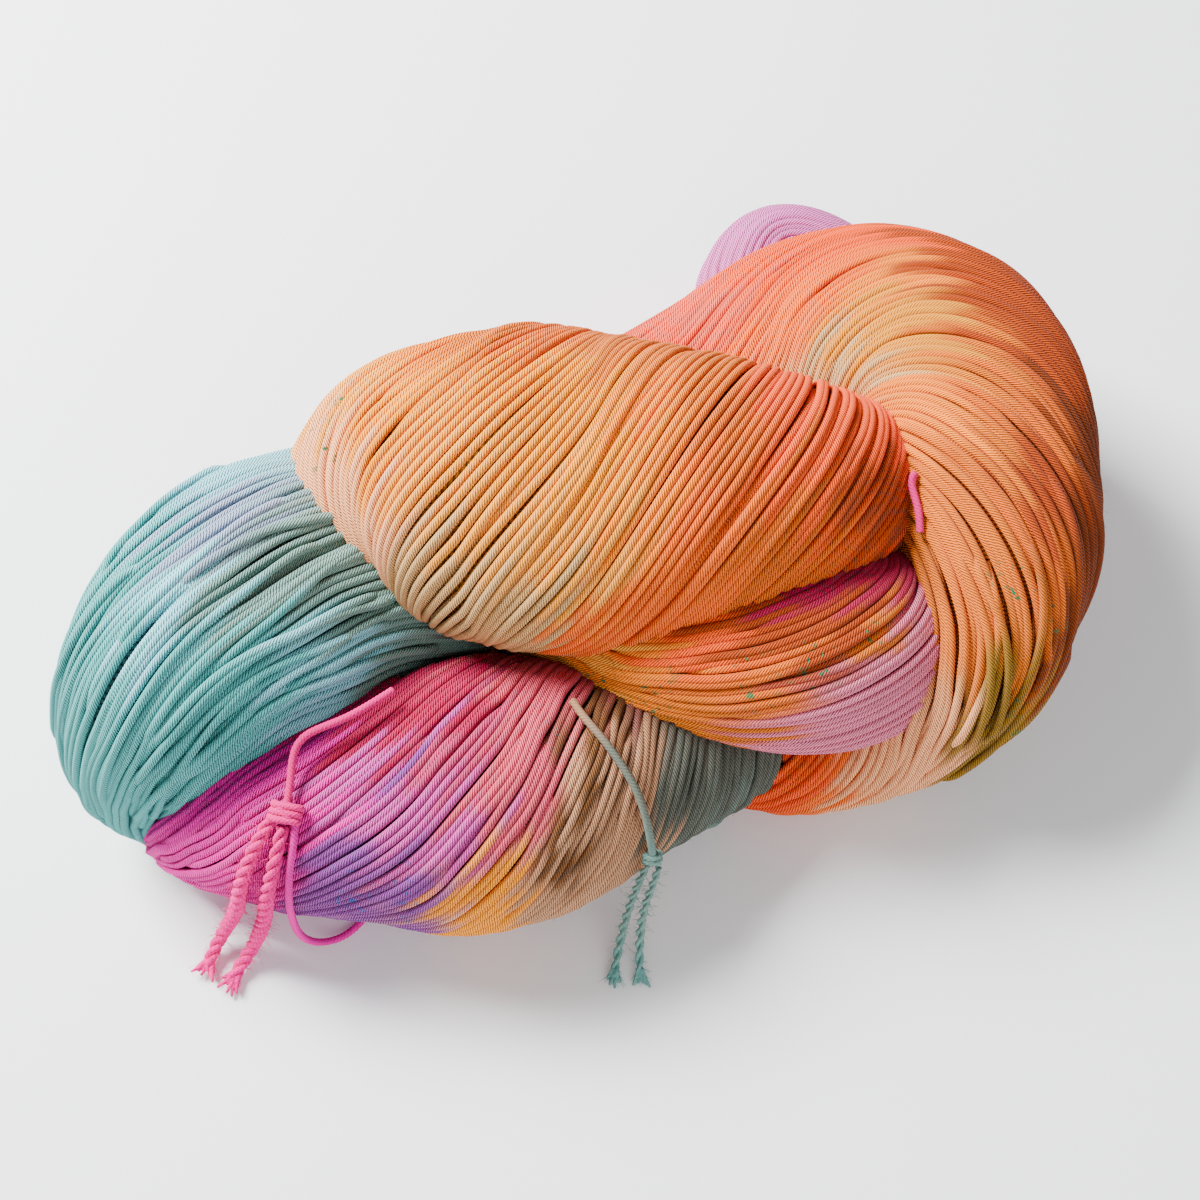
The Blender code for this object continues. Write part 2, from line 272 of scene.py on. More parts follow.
woolLook = {
    "ridges": 8,          # plies seen round a strand
    "ridgeSpacing": 0.70,  # mm along the strand
    # painted shade in the ply grooves and painted highlight on the ridges, as factors on the dye
    "paintedGrooveShade": 0.26,
    "paintedRidgeHighlight": 1.26,
    "ridgeHeight": 0.28,  # mm
    "fibreHeight": 0.05,  # mm
    "roughness": 0.82,
    "shine": 0.12,
    "sheen": 0.05,
    "fibreSize": 2600.0,  # a larger number gives finer fibres
    "dropSize": 700.0,    # and smaller drops of undiluted dye
}


def makeWool(name, look):
    material = bpy.data.materials.new(name)
    material.use_nodes = True
    tree = material.node_tree
    shader = tree.nodes["Principled BSDF"]
    link = tree.links.new

    def node(kind, **settings):
        made = tree.nodes.new(kind)
        for key, value in settings.items():
            setattr(made, key, value)
        return made

    def maths(operation, a, b=None, c=None):
        made = node("ShaderNodeMath", operation=operation)
        for socket, value in zip(made.inputs, (a, b, c)):
            if value is None:
                continue
            if isinstance(value, (int, float)):
                socket.default_value = value
            else:
                link(value, socket)
        return made.outputs[0]

    uv = node("ShaderNodeUVMap", uv_map="yarn")
    split = node("ShaderNodeSeparateXYZ")
    link(uv.outputs["UV"], split.inputs[0])
    turns = maths("MULTIPLY", split.outputs["Y"], float(look["ridges"]))
    phase = maths("MULTIPLY_ADD", split.outputs["X"], 1.0 / look["ridgeSpacing"], turns)
    across = maths("MULTIPLY_ADD", maths("FRACT", phase), 2.0, -1.0)
    ridge = maths("SUBTRACT", 1.0, maths("MULTIPLY", across, across))

    place = node("ShaderNodeTexCoord")
    fibres = node("ShaderNodeTexNoise")
    link(place.outputs["Object"], fibres.inputs["Vector"])
    fibres.inputs["Scale"].default_value = look["fibreSize"]
    fibres.inputs["Detail"].default_value = 2.0
    fibre = maths("SUBTRACT", fibres.outputs["Fac"], 0.5)

    # painted shade in the ply grooves and painted highlight on the ridges, with the fibres' random tone
    span = look["paintedRidgeHighlight"] - look["paintedGrooveShade"]
    shade = maths("MULTIPLY_ADD", maths("POWER", ridge, 1.1), span, look["paintedGrooveShade"])
    shade = maths("MULTIPLY_ADD", fibre, 0.35, shade)
    dye = node("ShaderNodeVertexColor", layer_name="dye")
    toned = node("ShaderNodeVectorMath", operation="SCALE")
    link(dye.outputs["Color"], toned.inputs[0])
    link(shade, toned.inputs["Scale"])

    fleck = node("ShaderNodeVertexColor", layer_name="fleck")
    spots = node("ShaderNodeTexNoise")
    link(place.outputs["Object"], spots.inputs["Vector"])
    spots.inputs["Scale"].default_value = look["dropSize"]
    spots.inputs["Detail"].default_value = 1.0
    spot = maths("MULTIPLY_ADD", spots.outputs["Fac"], 9.0, -5.5)
    spot.node.use_clamp = True
    amount = maths("MULTIPLY", spot, fleck.outputs["Alpha"])
    mixed = node("ShaderNodeMix", data_type="RGBA")
    link(amount, mixed.inputs[0])
    link(toned.outputs[0], mixed.inputs[6])
    link(fleck.outputs["Color"], mixed.inputs[7])
    link(mixed.outputs[2], shader.inputs["Base Color"])

    height = maths("MULTIPLY", ridge, look["ridgeHeight"])
    height = maths("MULTIPLY_ADD", fibre, look["fibreHeight"], height)
    bump = node("ShaderNodeBump")
    bump.inputs["Strength"].default_value = 1.0
    bump.inputs["Distance"].default_value = mm
    link(height, bump.inputs["Height"])
    link(bump.outputs["Normal"], shader.inputs["Normal"])
    shader.inputs["Roughness"].default_value = look["roughness"]
    shader.inputs["Specular IOR Level"].default_value = look["shine"]
    shader.inputs["Sheen Weight"].default_value = look["sheen"]
    shader.inputs["Sheen Roughness"].default_value = 0.45
    return material


dyedWool = makeWool("dyed wool", woolLook)
# the ties get only a faint painted shade in their ply grooves
tieLook = dict(woolLook, ridges=12, ridgeSpacing=0.45, ridgeHeight=0.05, paintedGrooveShade=0.85)
tieWool = makeWool("tie wool", tieLook)


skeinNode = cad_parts["skein"]
skeinMesh = skeinNode.data
formTree = BVHTree.FromPolygons(
    [v.co for v in skeinMesh.vertices], [tuple(p.vertices) for p in skeinMesh.polygons]
)

# Sizes and places in mm. Radii run from the knot to the tip, and a tail is strands laid together.
pinkTie = {
    "slot": "pink_wool",
    "knot": {
        "centre": (-56.4, -66.2, 44.0), "halfSize": (3.4, 2.4, 2.0), "axis": (-0.25, -0.90, -0.36),
        "radius": 0.72, "wraps": 2.5,
    },
    "threadRadius": 0.8,
    "tailRadii": (1.35, 1.5, 1.65, 1.7, 1.6, 1.45),
    "tailStrands": 3,
    "tailLay": 9.0,
    "fray": {"plies": 6, "reach": 5.0, "hairs": 260},
    "thread": [
        (-36.5, -43.5, 49.5), (-40.5, -46.5, 50.0), (-45.0, -49.3, 50.0), (-49.6, -51.2, 49.8),
        (-53.0, -52.6, 49.4), (-54.9, -55.0, 48.4), (-55.3, -58.5, 46.9), (-55.7, -62.0, 45.4),
        (-56.2, -64.8, 44.4),
    ],
    "loop": [
        (-54.6, -66.8, 42.6), (-54.9, -70.6, 40.6), (-55.9, -74.6, 37.0), (-56.9, -78.6, 29.0),
        (-57.4, -80.6, 18.0), (-56.6, -81.0, 8.5), (-54.0, -80.6, 3.4), (-50.6, -79.4, 1.6),
        (-47.6, -77.4, 1.2), (-45.4, -74.6, 1.1),
    ],
    "tailLeft": [
        (-59.0, -66.8, 43.0), (-61.8, -70.4, 40.4), (-64.8, -74.2, 33.0), (-67.6, -77.2, 23.0),
        (-70.6, -78.0, 13.0), (-73.4, -78.8, 5.6), (-75.6, -81.4, 2.4), (-76.8, -84.8, 1.8),
    ],
    "tailRight": [
        (-57.0, -68.6, 42.6), (-58.2, -72.6, 39.2), (-60.2, -76.6, 32.0), (-62.8, -80.0, 21.0),
        (-65.4, -81.0, 11.0), (-67.8, -82.2, 4.4), (-69.8, -84.4, 2.2), (-71.4, -87.4, 1.8),
    ],
}

tealTie = {
    "slot": "teal_wool",
    "knot": {
        "centre": (13.2, -70.6, 29.6), "halfSize": (2.1, 1.9, 1.7), "axis": (0.0, -0.45, -0.89),
        "radius": 0.6, "wraps": 2.0,
    },
    "threadRadius": 0.8,
    "tailRadii": (0.8, 0.85, 0.9, 1.0, 1.05, 0.95),
    "tailStrands": 2,
    "tailLay": 6.5,
    "fray": {"plies": 4, "reach": 4.0, "hairs": 110},
    "thread": [
        (-2.6, -45.0, 45.4), (0.4, -48.8, 47.4), (3.8, -53.0, 47.4), (7.0, -57.2, 46.0),
        (10.0, -61.6, 43.4), (11.8, -65.8, 39.6), (12.8, -69.0, 34.6), (13.2, -70.4, 31.0),
    ],
    "tailLeft": [
        (12.2, -71.6, 28.4), (10.6, -73.4, 22.0), (9.2, -75.4, 15.0), (7.8, -78.2, 8.4),
        (6.8, -81.6, 3.6), (6.2, -84.4, 1.6), (5.8, -87.0, 1.1),
    ],
    "tailRight": [
        (14.4, -72.0, 28.2), (13.2, -74.2, 21.6), (11.8, -76.4, 14.6), (11.2, -79.0, 8.2),
        (11.0, -82.0, 3.6), (11.0, -84.6, 1.6), (11.2, -87.0, 1.1),
    ],
}

innerTie = {
    "slot": "pink_wool",
    "radius": 0.8,
    "route": [
        (65.4, 2.0, 52.0), (66.0, -1.4, 53.4), (66.6, -4.8, 53.8), (67.2, -8.2, 53.2),
        (67.8, -11.0, 51.6),
    ],
}


def restingPath(route, radius, lift=0.35):
    # a smooth path through the route, kept clear of the wound form and the ground
    path = smoothRows(route, 1.5)[:, :3]
    for i, point in enumerate(path):
        for _ in range(6):
            spot, normal, _, _ = formTree.find_nearest(Vector(point * mm))
            height = (Vector(point * mm) - spot).dot(normal) / mm
            if height < radius + lift:
                point = point + np.array(normal) * (radius + lift - height)
        path[i] = point
    path[:, 2] = np.maximum(path[:, 2], radius + 0.1)
    kernel = np.array([1.0, 2.0, 1.0]) / 4
    for _ in range(3):
        inner = np.stack([np.convolve(path[:, k], kernel, "valid") for k in range(3)], 1)
        path[1:-1] = inner
    return path


def makeKnot(name, tie, colour):
    # the thread wound round itself: across the knot, along it and out towards you
    knot = tie["knot"]
    radius = knot["radius"]
    along = unit(np.array([knot["axis"]]))[0]
    across = unit(np.cross(along, (0, 0, 1.0))[None])[0]
    out = np.cross(across, along)
    room = np.array(knot["halfSize"]) - radius

    def inKnot(parts):
        return np.array(knot["centre"]) + sum(
            (part * size)[:, None] * way for part, size, way in zip(parts, room, (across, along, out))
        )

    q = np.linspace(0, 1, 110)
    turn = 2 * math.pi * knot["wraps"] * q
    wound = inKnot((np.cos(turn), 2 * q - 1 + 0.28 * np.cos(turn), np.sin(turn)))
    s = np.linspace(-1, 1, 30)
    through = inKnot((0.15 * s, 1.3 * s, 0 * s))
    under = inKnot((-0.9 * s, 0.9 * s, 1.25 * np.cos(1.2 * s) - 0.2))
    tubes = [
        pliedTube(wound, radius, colour, lay=2.8, groove=0.26, step=0.2),
        # painted shade: the thread under the wraps is a little darker, the one through the knot's middle
        # much darker
        pliedTube(under, radius * 0.95, colour * 0.92, lay=2.8, groove=0.26, step=0.2),
        pliedTube(through, radius * 1.4, colour * 0.6, step=0.3),
    ]
    piece = makePiece(name, tubes, tieWool)
    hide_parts(name)
    return piece


def makeTuft(name, path, tie, colour, rng):
    # the frayed end of a tail: its plies come apart, and loose hairs stand off all along it
    radius = max(tie["tailRadii"])
    plies, reach, hairs = (tie["fray"][key] for key in ("plies", "reach", "hairs"))
    tip, ahead = path[-1], unit((path[-1] - path[-4])[None])[0]
    side = unit(np.cross(ahead, (0, 0, 1.0))[None])[0]
    tubes = []
    for k in range(plies + 24):
        isPly = k < plies
        spread = (2 * (k + 0.5) / plies - 1) * 0.8 if isPly else rng.uniform(-1.1, 1.1)
        length = reach * rng.uniform(0.6, 1.1) * (1.0 if isPly else 0.9)
        s = np.linspace(0, 1, 7)[:, None]
        start = tip - ahead * 1.6 + side * spread * radius * 0.6
        bend = side * spread * length * 0.6 + np.array((0, 0, rng.uniform(0, 0.3) * length))
        line = start + ahead * (length * s) + bend * s**1.7
        thick = 0.5 if isPly else 0.06
        line[:, 2] = np.maximum(line[:, 2], thick + 0.05)
        radii = thick * np.array([1.0, 1.1, 1.0, 0.5]) if isPly else thick * np.array([1.0, 0.8, 0.4])
        shade = colour * rng.uniform(0.8, 1.15)
        tubes.append(pliedTube(line, radii, shade, plies=3, lay=2.4, sides=6, step=0.5))
    travel, level, up = framesAlong(path)
    for _ in range(hairs):
        i = rng.integers(2, len(path))
        angle = rng.uniform(0, 2 * math.pi)
        away = level[i] * math.cos(angle) + up[i] * math.sin(angle)
        drift = travel[i] * rng.uniform(-0.4, 1.0) + level[i] * rng.uniform(-0.5, 0.5)
        s = np.linspace(0, 1, 4)[:, None]
        line = path[i] + away * radius * 0.8 + rng.uniform(0.8, 2.2) * (away * s * 0.7 + drift * s**2)
        line[:, 2] = np.maximum(line[:, 2], 0.1)
        tubes.append(pliedTube(line, (0.045, 0.03), colour * rng.uniform(0.9, 1.2), sides=6, step=0.7))
    return makePiece(name, tubes, tieWool)


def makeTies():
    rng = np.random.default_rng(7)
    hot, soft, dark = wool("hotPink"), wool("softPink"), wool("magenta")
    grey, foam = wool("greyTeal"), wool("seaFoam")
    pinkKnot = makeKnot("pink_tie_knot", pinkTie, hot * 0.6 + soft * 0.4)
    tealKnot = makeKnot("teal_tie_knot", tealTie, grey * 0.9)
    tailPink = np.array([hot * 0.5 + soft * 0.5, soft, soft, soft * 1.05])
    threadTeal = np.array([wool("beige") * 0.8, wool("slateAndPaintedShade") * 1.3, wool("slateAndPaintedShade") * 1.5, grey * 0.8])
    tailTeal = np.array([grey * 0.8, grey, grey * 1.1, grey * 0.7 + foam * 0.5])
    # name, tie, which part of it, colour, what its far end meets, knot it carries
    cords = [
        ("pink_tie_thread", pinkTie, "thread", hot, "knot", [pinkKnot]),
        ("pink_tie_loop", pinkTie, "loop", dark, "object", []),
        ("pink_tie_tail_left", pinkTie, "tailLeft", tailPink, "bare", []),
        ("pink_tie_tail_right", pinkTie, "tailRight", tailPink, "bare", []),
        ("teal_tie_thread", tealTie, "thread", threadTeal, "knot", [tealKnot]),
        ("teal_tie_tail_left", tealTie, "tailLeft", tailTeal, "bare", []),
        ("teal_tie_tail_right", tealTie, "tailRight", tailTeal, "bare", []),
    ]
    for name, tie, part, colour, farEnd, carried in cords:
        isTail = farEnd == "bare"
        radii = tie["tailRadii"] if isTail else tie["threadRadius"]
        path = restingPath(tie[part], float(np.max(radii)))
        if isTail:
            tubes = ropeTubes(path, radii, colour, tie["tailStrands"], tie["tailLay"])
        else:
            tubes = [pliedTube(path, radii, colour, lay=3.2, groove=0.24)]
        piece = makePiece(name, tubes, tieWool)
        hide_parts(name)
        if isTail:
            carried = [makeTuft(name + "_tuft", path, tie, colour[-1], rng)]
    bit = restingPath(innerTie["route"], innerTie["radius"])
    tube = pliedTube(bit, innerTie["radius"], hot, lay=3.2)
    piece = makePiece("inner_tie_thread", [tube], tieWool)
    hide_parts("inner_tie_thread")


makeTies()
print("ties ready")


# The four passes of the hank, in mm.
# strands: how many lie round the pass
# loose: x, y, reach and how much more freely the strands lie there
# wanderers: how many strands cross over the others, from and to (distance along the pass),
#   and the shares of the girth they start between
# sections: x, y, z, half width, half height, then how far the strands have turned round the pass,
#   and for the hoop the way each section faces, in degrees from the right
passes = {
    "hoop": {
        "strands": 112,
        "loose": [(-78, -34, 32, 2.2), (84, -14, 28, 1.5)],
        "wanderers": [(16, 15, 100, 0.08, 0.44), (9, 255, 345, 0.12, 0.48)],
        "sections": [
            (-86, -58, 7, 6, 7, 0.14, 72), (-90, -53, 12, 10, 11, 0.13, 70),
            (-89.5, -48.5, 21, 15.5, 15, 0.115, 67), (-84.5, -43.5, 32, 20.5, 20, 0.10, 61),
            (-78.5, -37, 39, 25, 24, 0.08, 59), (-70.5, -28, 40, 29, 25, 0.06, 57),
            (-61.5, -18, 37, 30, 25, 0.045, 55), (-49.5, -10, 32, 30.5, 25, 0.03, 51),
            (-30, -2, 28, 29, 24, 0.02, 43), (-8, 9, 25, 28, 22, 0.03, 34),
            (8, 19, 23, 26, 21, 0.045, 32), (28, 31, 25, 25, 20, 0.08, 29),
            (45, 41, 31, 25, 20, 0.13, 15), (60, 42, 38, 25, 20, 0.20, -12),
            (73, 35, 43, 24, 20, 0.29, -45), (80, 22, 45, 23, 20, 0.40, -70),
            (82, 7, 45, 22, 20, 0.52, -84), (83, -8, 42, 20, 20, 0.63, -92),
            (81, -23, 35, 17, 19, 0.73, -105), (76, -34, 26, 14, 17, 0.82, -130),
            (66, -40, 17, 12, 14, 0.95, -155), (54, -44, 12, 10, 12, 1.11, -165),
            (40, -47, 10, 8, 9, 1.27, -173), (28, -47, 9, 5, 6, 1.43, -180),
        ],
    },
    "front": {
        "strands": 80,
        "loose": [(0, -55, 20, 0.6)],
        "wanderers": [],
        "sections": [
            (-86, -60, 9, 6, 7, 0), (-76, -61, 16, 12, 13, 0.07), (-64, -60, 20, 18, 19, 0.14),
            (-47, -58.5, 23, 22.5, 22, 0.22), (-27, -56, 24, 28, 25, 0.33), (-7, -53, 23, 26, 25, 0.49),
            (10, -49, 21, 19, 20, 0.75), (24, -46, 18, 14, 16, 1.31), (36, -43, 15, 9, 12, 2.67),
        ],
    },
    "top": {
        "strands": 78,
        "loose": [(48, 2, 18, 1.0)],
        "wanderers": [],
        "sections": [
            (-47, -34, 13, 13, 12, 0.00), (-52, -18, 17, 15, 15, 0.34), (-47, -5, 31, 18, 18, 0.82),
            (-35, 2, 46, 26, 24, 1.20), (-17, -1, 53, 33, 27, 1.46), (3, -3, 53, 33, 27, 1.69),
            (23, -2, 51, 29, 26, 1.90), (41, 1, 45, 24, 24, 2.09), (54, 7, 35, 18, 20, 2.27),
            (60, 18, 23, 16, 17, 2.38), (62, 40, 16, 16, 15, 2.48), (56, 62, 19, 16, 15, 2.58),
            (44, 71, 20, 14, 14, 2.64), (36, 62, 18, 12, 13, 2.69), (39, 44, 14, 12, 12, 2.74),
        ],
    },
    "inner": {
        "strands": 80,
        "loose": [],
        "wanderers": [],
        "sections": [
            (-81, -52, 9, 10, 10, 0.00), (-85, -28, 11, 13, 13, 0.05), (-79, -7, 13, 15, 14, 0.10),
            (-63, 7, 17, 16, 14, 0.16), (-43, 2, 21, 16, 15, 0.20), (-22, -12, 29, 13, 14, 0.24),
            (-5, -23, 34, 8, 10, 0.27), (11, -32, 38, 11, 14, 0.30), (29, -33, 39, 17, 17, 0.34),
            (47, -30, 35, 20, 20, 0.40), (62, -22, 27, 19, 19, 0.48), (69, -8, 19, 16, 16, 0.56),
            (67, 14, 13, 14, 14, 0.64), (53, 36, 11, 12, 12, 0.70),
        ],
    },
}

yarn = {
    "radius": 0.87,       # mm
    "pitch": 1.48,        # mm from strand to strand
    "ringStep": 1.9,      # mm between rings along a strand
    "sides": 8,
    "sideSway": 0.65,     # mm, how far strands lean on their neighbours
    "heightSway": 0.30,   # mm
    "keepUnder": 2.8,     # mm of a strand's dive that is still modelled
    "swayLength": 32,     # mm from one lean to the next
    "crowding": 1.05,     # the most of the strands' own room that they may take
    "dyeRun": 9,          # mm that the dyes run along a strand
    "farDyeRun": 24,      # and along one strand in twelve
    "tones": (0.90, 1.08),
    "seed": 11,
    "under": {"strands": 0.5, "depth": 1.15, "sides": 6, "ringStep": 2.6},
}

# Where each dye was poured, and where darker colours paint shade: pass, x, y, reach in mm, dye
pours = [
    ("hoop", -94, -30, 18, "seaFoam"), ("hoop", -78, 2, 14, "iceAqua"), ("hoop", -70, -14, 12, "greyLilac"),
    ("hoop", -88, -52, 18, "seaFoam"), ("hoop", -68, -48, 15, "seaFoam"), ("hoop", -80, -34, 14, "iceAqua"),
    ("hoop", -60, -26, 13, "greyTeal"), ("hoop", -50, -44, 12, "iceAqua"),
    ("hoop", -46, -22, 13, "greyTeal"), ("hoop", -34, -32, 13, "greyTeal"),
    ("hoop", -20, -30, 12, "slateAndPaintedShade"), ("hoop", -4, 4, 20, "rose"),
    ("hoop", 26, 46, 14, "rose"), ("hoop", 38, 36, 10, "salmon"), ("hoop", 42, 56, 12, "coral"),
    ("hoop", 58, 60, 12, "coral"), ("hoop", 50, 46, 9, "salmon"), ("hoop", 72, 52, 12, "rust"),
    ("hoop", 64, 44, 9, "apricot"), ("hoop", 46, 26, 8, "sand"), ("hoop", 56, 34, 8, "gold"),
    ("hoop", 68, 32, 8, "gold"), ("hoop", 84, 38, 12, "rust"), ("hoop", 94, 22, 12, "rust"),
    # painted shade: the umber pours darken the hoop's far right side, turned from the lamp
    ("hoop", 103, 8, 12, "paintedShadeUmber"), ("hoop", 103, -14, 12, "paintedShadeUmber"), ("hoop", 98, -30, 11, "paintedShadeUmber"),
    ("hoop", 77, 24, 9, "caramel"), ("hoop", 84, 12, 10, "terracotta"), ("hoop", 68, 12, 9, "apricot"),
    ("hoop", 76, 2, 9, "caramel"), ("hoop", 68, -6, 8, "caramel"), ("hoop", 87, -4, 10, "rust"),
    ("hoop", 77, -14, 9, "caramel"), ("hoop", 88, -20, 9, "terracotta"), ("hoop", 76, -28, 8, "caramel"),
    ("hoop", 84, -34, 10, "caramel"), ("hoop", 90, -42, 9, "olive"), ("hoop", 80, -46, 8, "olive"),
    ("hoop", 68, -50, 9, "blush"), ("hoop", 58, -50, 9, "blush"), ("hoop", 52, -56, 8, "salmon"),
    ("hoop", 44, -48, 8, "orange"), ("hoop", 36, -52, 8, "flame"),
    ("top", -56, 2, 12, "blush"), ("top", -50, -14, 12, "blush"), ("top", -46, 16, 11, "honey"),
    ("top", -36, 24, 12, "apricot"), ("top", -22, 26, 12, "caramel"), ("top", -38, 0, 12, "peach"),
    ("top", -42, -18, 9, "blush"), ("top", -34, -28, 9, "sand"), ("top", -24, -31, 9, "sand"),
    ("top", -24, -6, 13, "honey"), ("top", -16, -20, 12, "honey"), ("top", -8, 6, 13, "peach"),
    ("top", -8, 24, 11, "terracotta"), ("top", 6, 20, 10, "caramel"), ("top", 4, -8, 12, "peach"),
    ("top", 2, -24, 11, "honey"), ("top", -10, -34, 9, "sand"), ("top", 16, 6, 11, "apricot"),
    ("top", 13, -16, 10, "apricot"), ("top", 24, 18, 11, "caramel"), ("top", 28, 0, 12, "terracotta"),
    ("top", 24, -16, 11, "salmon"), ("top", 40, 12, 11, "orange"), ("top", 42, -6, 12, "orange"),
    ("top", 34, -20, 11, "terracotta"), ("top", 16, -32, 10, "salmon"), ("top", 2, -37, 8, "salmon"),
    ("top", 54, 8, 10, "orange"), ("top", 56, -6, 10, "rust"), ("top", 64, 0, 7, "flame"),
    ("top", 62, 20, 12, "orange"), ("top", 62, 46, 12, "mauve"), ("top", 52, 68, 14, "lilac"),
    ("top", 34, 66, 14, "lilac"),
    ("front", -84, -62, 12, "magenta"), ("front", -70, -60, 12, "magenta"),
    ("front", -54, -54, 11, "magenta"),
    ("front", -40, -54, 12, "plum"), ("front", -26, -46, 11, "plum"), ("front", -12, -38, 9, "dustyRose"),
    ("front", -62, -68, 9, "magenta"), ("front", -50, -62, 9, "orchid"), ("front", -48, -76, 9, "violet"),
    ("front", -34, -79, 7, "violet"), ("front", -38, -66, 9, "orchid"), ("front", -26, -56, 10, "pink"),
    ("front", -22, -68, 9, "orchid"), ("front", -10, -54, 8, "dustyRose"),
    ("front", -12, -66, 8, "dustyRose"),
    ("front", -34, -87, 7, "blush"), ("front", -18, -82, 9, "peach"), ("front", -4, -78, 8, "beige"),
    ("front", -3, -70, 7, "brown"), ("front", 2, -62, 8, "beige"), ("front", 2, -50, 7, "brown"),
    # painted shade: the slate pours darken the front pass's right end where it lies under the inner band
    ("front", 10, -56, 7, "beige"), ("front", 9, -68, 8, "beige"), ("front", 17, -56, 7, "slateAndPaintedShade"),
    ("front", 26, -54, 10, "slateAndPaintedShade"), ("front", 20, -64, 8, "slateAndPaintedShade"), ("front", 34, -54, 7, "slateAndPaintedShade"),
    ("front", 30, -62, 7, "greyTeal"),
    ("inner", -2, -36, 10, "honey"), ("inner", 8, -42, 10, "apricot"), ("inner", 20, -36, 10, "orange"),
    ("inner", 32, -34, 9, "rust"), ("inner", 20, -47, 8, "caramel"), ("inner", 34, -44, 8, "terracotta"),
    ("inner", 46, -36, 9, "rust"), ("inner", 50, -32, 7, "rust"), ("inner", 58, -32, 6, "caramel"),
    ("inner", 36, -53, 8, "mauve"), ("inner", 50, -48, 8, "mauve"), ("inner", 60, -42, 9, "mauve"),
    ("inner", 68, -34, 8, "mauve"), ("inner", 72, -20, 8, "mauve"), ("inner", 42, -26, 6, "plum"),
    ("inner", 52, -22, 7, "plum"), ("inner", 61, -17, 7, "plum"), ("inner", 66, -8, 7, "plum"),
    ("inner", -68, 2, 12, "beige"), ("inner", -60, -10, 9, "pink"), ("inner", -84, -20, 16, "seaFoam"),
]

# Small drops of undiluted dye: pass, x, y, reach in mm, dye
drops = [
    ("top", -46, 12, 5, "green"), ("top", -52, 6, 4, "green"), ("top", -50, 0, 4, "green"),
    ("top", -14, 24, 3, "green"), ("inner", 3, -38, 4, "green"), ("inner", 14, -42, 5, "green"),
    ("inner", 32, -42, 6, "green"), ("inner", 44, -40, 6, "green"), ("inner", 56, -32, 5, "green"),
    ("hoop", 82, -24, 6, "green"), ("hoop", 89, -28, 5, "green"), ("hoop", 88, -44, 5, "green"),
    ("front", -44, -78, 5, "blue"), ("front", -32, -78, 5, "blue"), ("front", -12, -46, 3, "deepTeal"),
    ("front", -7, -52, 3, "deepTeal"),
]


def measurePass(sections):
    rows = smoothRows(sections, 0.8)
    centre, a, b, turn = rows[:, :3], rows[:, 3], rows[:, 4], rows[:, 5]
    travel = unit(np.gradient(centre, axis=0))
    level = unit(np.cross(travel, (0.0, 0.0, 1.0)))
    if rows.shape[1] > 6:
        facing = np.radians(rows[:, 6])
        level = np.stack([np.sin(facing), -np.cos(facing), 0 * facing], 1)
    up = unit(np.cross(level, travel))
    along = np.concatenate([[0.0], np.cumsum(np.linalg.norm(np.diff(centre, axis=0), axis=1))])
    angle = np.linspace(0, 2 * math.pi, 97)
    speed = np.sqrt((a[:, None] * np.sin(angle)) ** 2 + (b[:, None] * np.cos(angle)) ** 2)
    around = np.zeros_like(speed)
    around[:, 1:] = np.cumsum((speed[:, 1:] + speed[:, :-1]) / 2, axis=1) * (angle[1] - angle[0])
    girth = around[:, -1]
    return {
        "centre": centre, "a": a, "b": b, "turn": turn, "travel": travel, "level": level, "up": up,
        "along": along, "angle": angle, "around": around / girth[:, None], "girth": girth,
    }


def onPass(shape, share, depth):
    # places and outward directions at a share of the girth and a depth under the surface
    angle = np.empty_like(share)
    for i in range(len(share)):
        angle[i] = np.interp(share[i] % 1.0, shape["around"][i], shape["angle"])
    c, s = np.cos(angle)[..., None], np.sin(angle)[..., None]
    a, b = shape["a"][:, None, None], shape["b"][:, None, None]
    level, up = shape["level"][:, None], shape["up"][:, None]
    outward = unit(c / a * level + s / b * up)
    return shape["centre"][:, None] + a * c * level + b * s * up - outward * depth[..., None], outward


def looseness(settings, shape):
    # how much more freely the strands lie here and there along a pass
    amount = np.ones(len(shape["along"]))
    for x, y, reach, more in settings["loose"]:
        far = np.hypot(shape["centre"][:, 0] - x, shape["centre"][:, 1] - y)
        amount += more * np.exp(-((far / reach) ** 2))
    return amount[:, None]


def layStrands(settings, shape, count, below, rng):
    # the strands of one layer of a pass: share of the girth, depth and whether each is up in its layer
    rows = len(shape["along"])
    slope = np.gradient(shape["turn"], shape["along"]) * shape["girth"]
    room = shape["girth"] / np.sqrt(1 + slope**2) / (settings["strands"] * yarn["pitch"])
    cells = max(2, int(shape["along"][-1] / yarn["swayLength"]))
    free = looseness(settings, shape)
    room = np.minimum(room[:, None], yarn["crowding"])
    rank = (np.arange(count) * (math.sqrt(5) - 1) / 2) % 1.0  # so that no neighbours dive together
    upWeight = ease((room - rank[None]) / 0.12 + 0.5)
    place = (np.cumsum(upWeight, axis=1) - upWeight / 2) / upWeight.sum(1, keepdims=True)
    sway = softNoise(rng, rows, count, cells, max(2, count // 4)) * yarn["sideSway"] * free
    sway += softNoise(rng, rows, count, cells * 2, max(2, count // 2)) * yarn["sideSway"] * 0.4
    sway += softNoise(rng, rows, count, max(2, cells // 2), count) * yarn["sideSway"] * 0.7 * free
    if below:
        sway += softNoise(rng, rows, count, cells, max(2, count // 3)) * yarn["sideSway"] * 2 * free
    share = place + shape["turn"][:, None] + sway / shape["girth"][:, None]
    depth = yarn["radius"] * (1 + 2.6 * (1 - upWeight)) + below
    depth = depth + softNoise(rng, rows, count, cells, max(2, count // 2)) * yarn["heightSway"] * free**0.5
    depth = depth + softNoise(rng, rows, count, cells * 2, count) * yarn["heightSway"] * free**0.5
    return share, np.maximum(depth, yarn["radius"] * 0.7), upWeight


